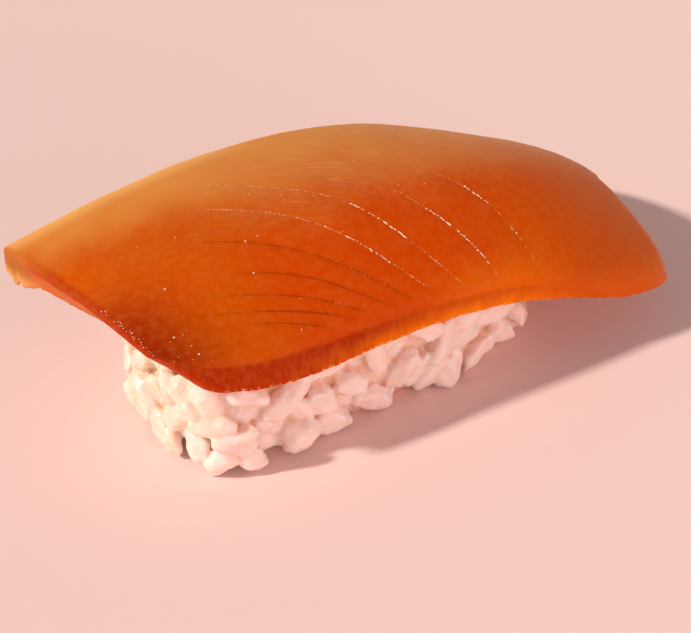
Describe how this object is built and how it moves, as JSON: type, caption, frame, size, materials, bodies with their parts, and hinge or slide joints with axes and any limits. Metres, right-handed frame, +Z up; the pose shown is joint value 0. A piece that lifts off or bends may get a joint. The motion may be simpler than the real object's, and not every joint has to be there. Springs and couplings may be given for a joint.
{
  "type": "tuna nigiri",
  "caption": "Piece of nigiri sushi: a long slice of raw fish draped over a pressed oblong block of cooked rice, resting flat on its rice.",
  "frame": {"origin": "on the table under the middle of the whole piece, at the centre of the bottom of its bounding box", "axes": "+X along the length of the slice, towards its low tapering end; +Y across it, towards its far side; +Z up"},
  "size_m": [0.0818, 0.04, 0.0259],
  "materials": {
    "fish": "moist translucent amber flesh, soft gloss",
    "rice": "sticky translucent white grains, moist sheen"
  },
  "bodies": {
    "root": {"tuna_slice": "fish", "rice": "rice"}
  },
  "joints": []
}
